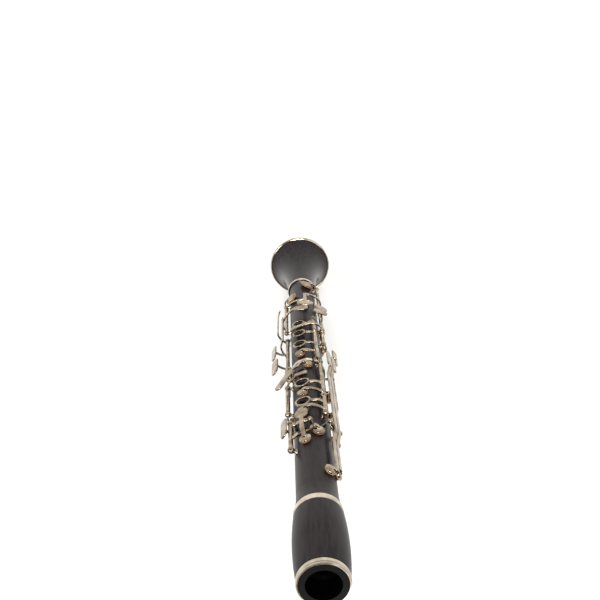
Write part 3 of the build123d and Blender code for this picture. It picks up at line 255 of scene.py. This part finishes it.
# ---- tenon corks ----------------------------------------------------------------------------
# Sheet cork, glued round each tenon, sanded to fit its socket and rubbed with tallow. Its pores
# show as small dark pits in a waxy tan.
# Cork's cells are too fine to see; these are its lenticels, the small dark pores, at real size.
CORK_CELL = 0.0009
CORK_PIT = 0.0001
CORK_DARK = "#8a5f38"
CORK_LIGHT = "#c39a68"
cork, cork_shader = new_material("waxed_sheet_cork", Roughness=0.7)
cork_place = add_node(cork, "ShaderNodeTexCoord")
cork_cells = add_node(cork, "ShaderNodeTexVoronoi", {"Scale": 1 / CORK_CELL},
                      {"Vector": cork_place.outputs["Object"]})
cork_tint = add_node(cork, "ShaderNodeValToRGB", links={"Fac": cork_cells.outputs["Distance"]})
cork_tint.color_ramp.elements[0].color = to_linear(CORK_DARK)
cork_tint.color_ramp.elements[1].color = to_linear(CORK_LIGHT)
link(cork, cork_tint.outputs["Color"], cork_shader.inputs["Base Color"])
cork_relief = add_node(cork, "ShaderNodeBump", {"Strength": 0.4, "Distance": CORK_PIT},
                       {"Height": cork_cells.outputs["Distance"]})
link(cork, cork_relief.outputs["Normal"], cork_shader.inputs["Normal"])
paint(frame["nodes"]["tenon_corks"], cork)

# ---- metal rings, tubes and thumb rest ------------------------------------------------------
# Nickel-silver ferrules are pressed on the socket ends so that the wood can't split. They and
# the tubes and thumb rest are plated and buffed on a soft wheel.
CLOUD_WIDTH = 0.00625
CLOUD_DARK_BELOW = 0.35
CLOUD_LIGHT_ABOVE = 0.65
# Buffing marks are hair-fine. They are drawn at 0.4 mm, so that they show.
BUFFING_MARK = 1 / 2600
MARK_DEPTH = 0.00002
GLOSS_BELOW = 0.05
GLOSS_ABOVE = 0.07
FERRULE_POLISH = 0.12
FERRULE_DARK = "#b5aa96"
FERRULE_LIGHT = "#dcd1bf"


def plated(name, roughness, dark, light):
    """Buffed nickel: a warm grey mirror, clouded by handling and crossed by hair-fine marks."""
    metal, shader = new_material(name, Metallic=1.0)
    place = add_node(metal, "ShaderNodeTexCoord")
    clouds = add_node(metal, "ShaderNodeTexNoise", {"Scale": 1 / CLOUD_WIDTH, "Detail": 4.0},
                      {"Vector": place.outputs["Object"]})
    tint = add_node(metal, "ShaderNodeValToRGB", links={"Fac": clouds.outputs["Fac"]})
    tint.color_ramp.elements[0].position = CLOUD_DARK_BELOW
    tint.color_ramp.elements[0].color = to_linear(dark)
    tint.color_ramp.elements[1].position = CLOUD_LIGHT_ABOVE
    tint.color_ramp.elements[1].color = to_linear(light)
    link(metal, tint.outputs["Color"], shader.inputs["Base Color"])
    marks = add_node(metal, "ShaderNodeTexNoise", {"Scale": 1 / BUFFING_MARK, "Detail": 3.0},
                     {"Vector": place.outputs["Object"]})
    gloss = add_node(metal, "ShaderNodeMapRange", {"To Min": roughness - GLOSS_BELOW,
                     "To Max": roughness + GLOSS_ABOVE}, {"Value": marks.outputs["Fac"]})
    link(metal, gloss.outputs["Result"], shader.inputs["Roughness"])
    relief = add_node(metal, "ShaderNodeBump", {"Strength": 0.06, "Distance": MARK_DEPTH},
                      {"Height": marks.outputs["Fac"]})
    link(metal, relief.outputs["Normal"], shader.inputs["Normal"])
    return metal


ring_nickel = plated("buffed_nickel_ferrule", FERRULE_POLISH, FERRULE_DARK, FERRULE_LIGHT)
for node in ("thumb_tube", "register_tube", "thumb_rest"):
    paint(frame["nodes"][node], ring_nickel)

RING_STEPS = 144
OUTLINE_LEVELS = 12
LEVEL_REACH = 1 / 40
SEAM_WELD = 0.00001
CREASE_ANGLE = math.radians(38)


def turned_ring(node, wall, outline):
    """A ring spun from its cross-section. The outline sinks each level below the crown."""
    low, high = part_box(node)
    height = high.z - low.z
    inner = high.x - wall
    bpy.ops.object.select_all(action="DESELECT")
    bpy.ops.mesh.primitive_plane_add(size=1, enter_editmode=True, rotation=(math.pi / 2, 0, 0),
                                     location=(inner + wall / 2, 0, low.z + height / 2))
    bpy.ops.transform.resize(value=(wall, 1, height))
    bpy.ops.mesh.delete(type="ONLY_FACE")
    bpy.ops.object.mode_set(mode="OBJECT")
    bpy.ops.object.transform_apply(location=True, rotation=True, scale=True)
    ring = bpy.context.active_object
    ring.name = f"{node}_turned"
    middle = inner + wall / 2
    bpy.ops.object.mode_set(mode="EDIT")
    bpy.ops.mesh.select_all(action="DESELECT")
    bpy.ops.object.mode_set(mode="OBJECT")
    for edge in ring.data.edges:
        edge.select = all(ring.data.vertices[end].co.x > middle for end in edge.vertices)
    bpy.ops.object.mode_set(mode="EDIT")
    bpy.ops.mesh.select_mode(type="EDGE")
    bpy.ops.mesh.subdivide(number_cuts=OUTLINE_LEVELS - 1)
    bpy.ops.mesh.select_mode(type="VERT")
    for step, depth in outline.items():
        level = low.z + step / OUTLINE_LEVELS * height
        bpy.ops.mesh.select_all(action="DESELECT")
        bpy.ops.object.mode_set(mode="OBJECT")
        for point in ring.data.vertices:
            point.select = point.co.x > middle and abs(point.co.z - level) < height * LEVEL_REACH
        bpy.ops.object.mode_set(mode="EDIT")
        bpy.ops.transform.translate(value=(-depth, 0, 0))
    bpy.ops.mesh.select_all(action="SELECT")
    bpy.ops.mesh.spin(steps=RING_STEPS, angle=math.tau, center=(0, 0, 0), axis=(0, 0, 1))
    bpy.ops.mesh.select_all(action="SELECT")
    bpy.ops.mesh.remove_doubles(threshold=SEAM_WELD)
    bpy.ops.mesh.normals_make_consistent(inside=False)
    bpy.ops.object.mode_set(mode="OBJECT")
    bpy.ops.object.shade_smooth_by_angle(angle=CREASE_ANGLE)
    ring.data.name = ring.name
    paint(ring, ring_nickel)
    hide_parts(node)
    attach(ring, "body")


# Each outline counts its levels from the bottom edge, a twelfth of the height apart. The barrel's
# top ring has a groove under its lip, the next three are crowned bands with softened edges, and the
# bell's rim ring is a bead that rolls in towards its top.
GROOVED = {0: 0.0005, 1: 0.00022, 2: 0.00008, 5: 0.00002, 6: 0.00006, 7: 0.00016, 8: 0.00042,
           9: 0.00018, 10: 0.00012, 11: 0.00028, 12: 0.0006}
CROWNED = {0: 0.00045, 1: 0.00024, 2: 0.00014, 3: 0.00008, 4: 0.00003, 8: 0.00003, 9: 0.00008,
           10: 0.00014, 11: 0.00024, 12: 0.00045}
BELL_BEAD = {0: 0.0009, 1: 0.0005, 2: 0.00028, 3: 0.00012, 4: 0.00003, 7: 0.00006, 8: 0.0002,
             9: 0.00042, 10: 0.00075, 11: 0.0012, 12: 0.0019}
FERRULE_WALL = 0.0013
RIM_WALL = 0.003
turned_ring("barrel_top_ring", FERRULE_WALL, GROOVED)
for node in ("barrel_bottom_ring", "lower_joint_top_ring", "bell_top_ring"):
    turned_ring(node, FERRULE_WALL, CROWNED)
turned_ring("bell_rim_ring", RIM_WALL, BELL_BEAD)

# ---- posts, rods and springs ----------------------------------------------------------------
# Turned ball posts are screwed into the wood; hardened steel rods pass through them and carry
# the key tubes; blued needle springs are pressed into the posts.
# Grinding lines are finer than a tenth of a millimetre. They are drawn coarser, so that they show,
# and each is 25 times as long as it is wide.
GRINDING_LINE = 0.00025
GRINDING_LENGTH = 0.00625
LINE_DEPTH = 0.00002
LINE_DARK_BELOW = 0.35
LINE_LIGHT_ABOVE = 0.7
ROD_POLISH = 0.32
ROD_DARK = "#8b8884"
ROD_LIGHT = "#b9b6b1"
SPRING_POLISH = 0.28
SPRING_DARK = "#232a44"
SPRING_LIGHT = "#4a5577"
KEY_POLISH = 0.15
KEY_DARK = "#807361"
KEY_LIGHT = "#baac96"
key_nickel = plated("buffed_nickel_keywork", KEY_POLISH, KEY_DARK, KEY_LIGHT)
for node in ("upper_posts", "lower_posts"):
    paint(frame["nodes"][node], key_nickel)


def ground(name, roughness, dark, light):
    """Drawn steel with fine lines left along it by the grinding wheel."""
    metal, shader = new_material(name, Metallic=1.0, Roughness=roughness)
    place = add_node(metal, "ShaderNodeTexCoord")
    stretch = add_node(metal, "ShaderNodeMapping",
                       {"Scale": (1.0, 1.0, GRINDING_LINE / GRINDING_LENGTH)},
                       {"Vector": place.outputs["Object"]})
    lines = add_node(metal, "ShaderNodeTexNoise", {"Scale": 1 / GRINDING_LINE, "Detail": 2.0},
                     {"Vector": stretch.outputs["Vector"]})
    tint = add_node(metal, "ShaderNodeValToRGB", links={"Fac": lines.outputs["Fac"]})
    tint.color_ramp.elements[0].position = LINE_DARK_BELOW
    tint.color_ramp.elements[0].color = to_linear(dark)
    tint.color_ramp.elements[1].position = LINE_LIGHT_ABOVE
    tint.color_ramp.elements[1].color = to_linear(light)
    link(metal, tint.outputs["Color"], shader.inputs["Base Color"])
    relief = add_node(metal, "ShaderNodeBump", {"Strength": 0.15, "Distance": LINE_DEPTH},
                      {"Height": lines.outputs["Fac"]})
    link(metal, relief.outputs["Normal"], shader.inputs["Normal"])
    return metal


rod_steel = ground("ground_rod_steel", ROD_POLISH, ROD_DARK, ROD_LIGHT)
for node in ("upper_hinge_rods", "lower_hinge_rods", "pivot_screws", "thumb_rest_screws"):
    paint(frame["nodes"][node], rod_steel)
spring_steel = ground("blued_spring_steel", SPRING_POLISH, SPRING_DARK, SPRING_LIGHT)
paint(frame["nodes"]["needle_springs"], spring_steel)

# ---- pads -----------------------------------------------------------------------------------
# Felt discs wrapped in tan leather, floated on shellac in their cups; the leather is pebbled
# like fine goatskin and shows as an orange edge below each cup.
PEBBLE = 0.0005
PEBBLE_DEPTH = 0.00005
SKIN_DARK = "#b9763c"
SKIN_LIGHT = "#d39a5e"
leather, leather_shader = new_material("tan_goatskin_pad", Roughness=0.55)
skin_place = add_node(leather, "ShaderNodeTexCoord")
pebbles = add_node(leather, "ShaderNodeTexVoronoi", {"Scale": 1 / PEBBLE},
                   {"Vector": skin_place.outputs["Object"]})
skin_tint = add_node(leather, "ShaderNodeValToRGB", links={"Fac": pebbles.outputs["Distance"]})
skin_tint.color_ramp.elements[0].color = to_linear(SKIN_DARK)
skin_tint.color_ramp.elements[1].color = to_linear(SKIN_LIGHT)
link(leather, skin_tint.outputs["Color"], leather_shader.inputs["Base Color"])
skin_relief = add_node(leather, "ShaderNodeBump", {"Strength": 0.3, "Distance": PEBBLE_DEPTH},
                       {"Height": pebbles.outputs["Distance"]})
link(leather, skin_relief.outputs["Normal"], leather_shader.inputs["Normal"])
moving_bodies = {body: members for body, members in frame["record"]["behaviour"]["bodies"].items()
                 if body != "body"}
for members in moving_bodies.values():
    for node in members:
        if "_pad" in node:
            paint(frame["nodes"][node], leather)

# ---- keys -----------------------------------------------------------------------------------
# Each key is forged nickel silver: cup, arms, tube and finger plate silver-soldered together,
# with every edge rounded by filing and buffing before it is plated.
BUFFED_EDGE = 0.00028
WELD = 0.000002
BUFFING_PASSES = 3
KEPT_FACES = 0.35


def select_only(piece):
    bpy.ops.object.select_all(action="DESELECT")
    piece.select_set(True)
    bpy.context.view_layer.objects.active = piece


def buffed_copy(node, body):
    """A copy of a casting with its parts run together and its edges rounded, shown for it."""
    source = frame["nodes"][node]
    piece = source.copy()
    piece.data = source.data.copy()
    for key in list(piece.keys()):
        del piece[key]
    piece.name = f"{node}_casting"
    bpy.context.scene.collection.objects.link(piece)
    piece.parent = None
    piece.matrix_world = Matrix.Identity(4)
    select_only(piece)
    bpy.ops.object.mode_set(mode="EDIT")
    bpy.ops.mesh.select_all(action="SELECT")
    bpy.ops.mesh.remove_doubles(threshold=WELD)
    bpy.ops.object.mode_set(mode="OBJECT")
    melt = piece.modifiers.new("melt", "REMESH")
    melt.mode = "VOXEL"
    melt.voxel_size = BUFFED_EDGE
    soften = piece.modifiers.new("soften", "SMOOTH")
    soften.factor = 0.5
    soften.iterations = BUFFING_PASSES
    thin = piece.modifiers.new("thin", "DECIMATE")
    thin.ratio = KEPT_FACES
    for modifier in ("melt", "soften", "thin"):
        bpy.ops.object.modifier_apply(modifier=modifier)
    bpy.ops.object.shade_smooth()
    paint(piece, key_nickel)
    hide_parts(node)
    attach(piece, body)


for body, members in moving_bodies.items():
    for node in members:
        if "_pad" not in node:
            buffed_copy(node, body)
